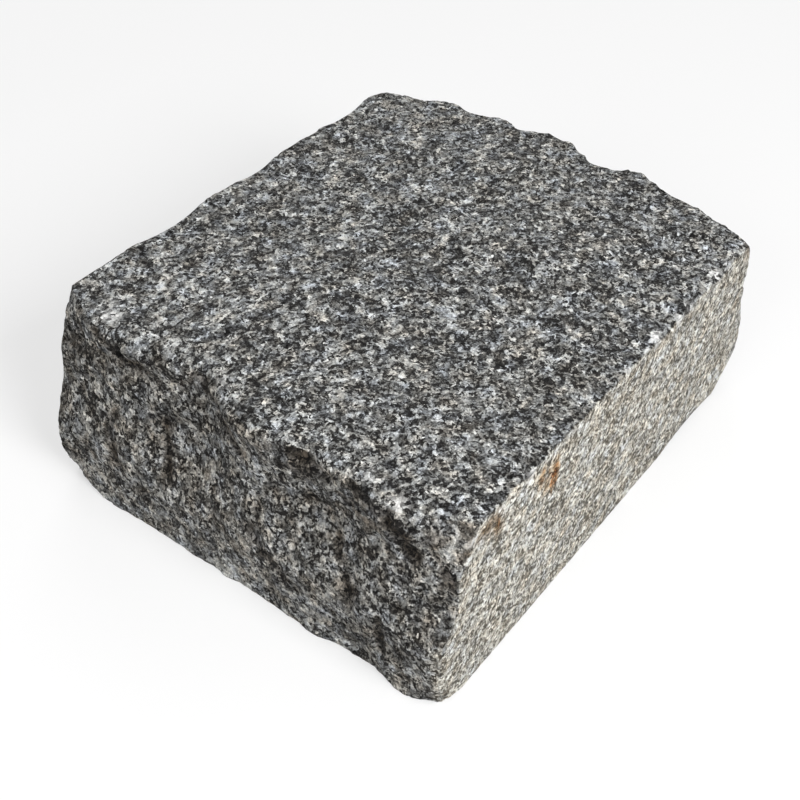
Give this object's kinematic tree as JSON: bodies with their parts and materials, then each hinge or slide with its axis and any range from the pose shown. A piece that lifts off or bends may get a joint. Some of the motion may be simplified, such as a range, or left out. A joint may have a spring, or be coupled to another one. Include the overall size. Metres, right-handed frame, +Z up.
{
  "type": "granite paving sett",
  "caption": "Rectangular granite sett with a cleft top, rough split ends, sawn long sides and a flat sawn bed.",
  "frame": {"origin": "centre of the stone's box at the level of its flat bed", "axes": "+Z up from the bed to the cleft top, +X along the length between the two split ends, +Y across the width between the two sawn sides"},
  "size_m": [0.2079, 0.17, 0.0784],
  "materials": {
    "granite": "cleft grey granite with sawn sides"
  },
  "bodies": {
    "root": {"sett": "granite"}
  },
  "joints": []
}
